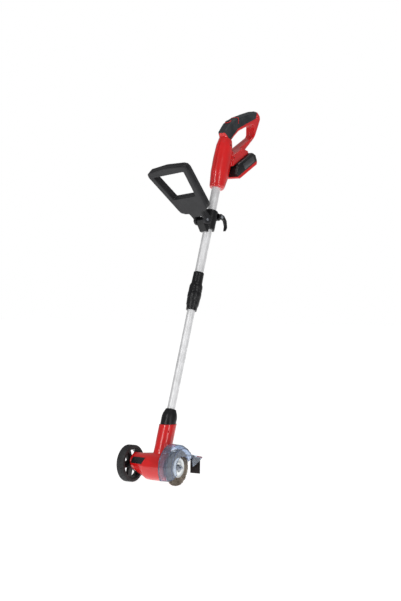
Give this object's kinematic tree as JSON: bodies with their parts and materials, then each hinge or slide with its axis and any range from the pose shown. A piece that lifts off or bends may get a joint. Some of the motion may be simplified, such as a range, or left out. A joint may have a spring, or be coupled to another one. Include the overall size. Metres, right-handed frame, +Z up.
{
  "type": "joint brush",
  "caption": "Battery joint and edge brush: clear-hooded wire wheel and guide wheel on a motor head, telescopic shaft, loop handle and D-shaped rear handle.",
  "frame": {"origin": "free end of the brush spindle, on its axis", "axes": "+X along the spindle away from the guide wheel, +Y back to the user, +Z up"},
  "size_m": [0.1964, 0.562, 1.057],
  "materials": {
    "red_plastic": "moulded",
    "black_plastic": "moulded",
    "dark_plastic": "moulded",
    "soft_grip": "satin",
    "tube_alloy": "satin",
    "steel": "satin",
    "zinc_steel": "satin",
    "wire": "satin",
    "hood_clear": "satin",
    "tyre": "satin",
    "flap_rubber": "satin",
    "copper": "satin",
    "cell_wrap": "moulded",
    "label": "moulded",
    "red_trim": "moulded",
    "badge": "moulded"
  },
  "bodies": {
    "root": {"handle_shell_right": "red_plastic", "handle_shell_left": "red_plastic", "handle_screws": "steel", "soft_grip": "soft_grip", "trigger_pin": "steel", "switch_block": "dark_plastic", "contact_block": "dark_plastic", "upper_tube": "tube_alloy", "telescope_socket": "black_plastic", "telescope_collet": "dark_plastic", "shaft_cable": "dark_plastic"},
    "telescope_sleeve": {"telescope_lock_sleeve": "black_plastic"},
    "head": {"lower_tube": "tube_alloy", "head_shell_front": "red_plastic", "head_shell_rear": "red_plastic", "head_shell_screws": "steel", "badge_plate": "badge", "motor_plate": "dark_plastic", "spindle_plate": "tube_alloy", "motor_case": "steel", "motor_end_cap": "dark_plastic", "idler_shaft": "steel", "spindle_bearings": "steel", "guard_hood": "hood_clear", "guard_screws": "steel", "rear_flap": "flap_rubber", "wheel_washer": "steel", "axle_bolt": "steel"},
    "shaft_nut": {"shaft_lock_nut": "black_plastic"},
    "brush": {"spindle": "steel", "inner_flange": "steel", "brush_disc_inner": "zinc_steel", "brush_wires": "wire", "brush_core": "zinc_steel", "brush_disc_outer": "zinc_steel", "spindle_nut": "steel", "output_gear": "steel"},
    "idler": {"idler_gear": "steel"},
    "motor_rotor": {"rotor": "steel", "commutator": "copper", "motor_shaft": "steel", "motor_pinion": "steel"},
    "wheel": {"tyre": "tyre", "wheel_rim": "black_plastic"},
    "clamp": {"clamp_band": "black_plastic", "clamp_bolt": "steel", "clamp_nut": "steel"},
    "loop_handle": {"loop_shell_upper": "dark_plastic", "loop_shell_lower": "dark_plastic", "loop_screws": "steel", "loop_pivot_pin": "steel"},
    "lever": {"clamp_lever": "black_plastic"},
    "trigger": {"trigger": "black_plastic"},
    "lock_off": {"lock_off_button": "black_plastic"},
    "battery": {"battery_case_upper": "black_plastic", "battery_case_lower": "red_trim", "battery_cells": "cell_wrap", "battery_label": "label"},
    "battery_button": {"battery_release": "dark_plastic"}
  },
  "joints": [
    {"name": "telescope_slide", "type": "slide", "parent": "root", "child": "head", "axis": [0, -0.342, -0.9397], "range_m": [-0.08, 0.18]},
    {"name": "sleeve_turn", "type": "hinge", "parent": "root", "child": "telescope_sleeve", "pos_m": [-0.075, 0, 0], "axis": [0, 0.342, 0.9397], "range_deg": [0, 60]},
    {"name": "shaft_nut_turn", "type": "hinge", "parent": "head", "child": "shaft_nut", "pos_m": [-0.075, 0, 0], "axis": [0, 0.342, 0.9397], "range_deg": [0, 90]},
    {"name": "brush_spin", "type": "hinge", "parent": "head", "child": "brush", "pos_m": [0, 0, 0], "axis": [1, 0, 0], "continuous": true},
    {"name": "idler_spin", "type": "hinge", "parent": "head", "child": "idler", "pos_m": [-0.07, -0.0157, 0.00795], "axis": [1, 0, 0], "continuous": true},
    {"name": "motor_spin", "type": "hinge", "parent": "head", "child": "motor_rotor", "pos_m": [-0.1, 0, 0.008], "axis": [1, 0, 0], "continuous": true},
    {"name": "wheel_spin", "type": "hinge", "parent": "head", "child": "wheel", "pos_m": [-0.172, 0, 0.0006], "axis": [1, 0, 0], "continuous": true},
    {"name": "clamp_slide", "type": "slide", "parent": "root", "child": "clamp", "axis": [0, 0.342, 0.9397], "range_m": [-0.1, 0.05]},
    {"name": "loop_tilt", "type": "hinge", "parent": "clamp", "child": "loop_handle", "pos_m": [-0.08142, 0.21455, 0.67215], "axis": [0.9751, -0.2082, 0.0758], "range_deg": [-8, 35]},
    {"name": "lever_swing", "type": "hinge", "parent": "clamp", "child": "lever", "pos_m": [-0.06946, 0.27429, 0.68234], "axis": [0.9751, -0.2082, 0.0758], "range_deg": [0, 100]},
    {"name": "trigger_pull", "type": "hinge", "parent": "root", "child": "trigger", "pos_m": [-0.075, 0.388, 0.953], "axis": [-1, 0, 0], "range_deg": [0, 5], "stiffness_Nm_per_rad": 0.6, "springref_deg": -8.59},
    {"name": "lock_off_press", "type": "slide", "parent": "root", "child": "lock_off", "axis": [0, 0.5299, -0.848], "range_m": [0, 0.003], "stiffness_N_per_m": 400, "springref_m": -0.002},
    {"name": "battery_slide", "type": "slide", "parent": "root", "child": "battery", "axis": [0, 0.887, 0.4617], "range_m": [0, 0.09]},
    {"name": "battery_button_press", "type": "slide", "parent": "battery", "child": "battery_button", "axis": [0, -0.887, -0.4617], "range_m": [0, 0.0022], "stiffness_N_per_m": 400, "springref_m": -0.002}
  ],
  "couplings": [
    {"joint": "idler_spin", "follows": "brush_spin", "ratio": -3.1667},
    {"joint": "motor_spin", "follows": "brush_spin", "ratio": 10.556}
  ]
}
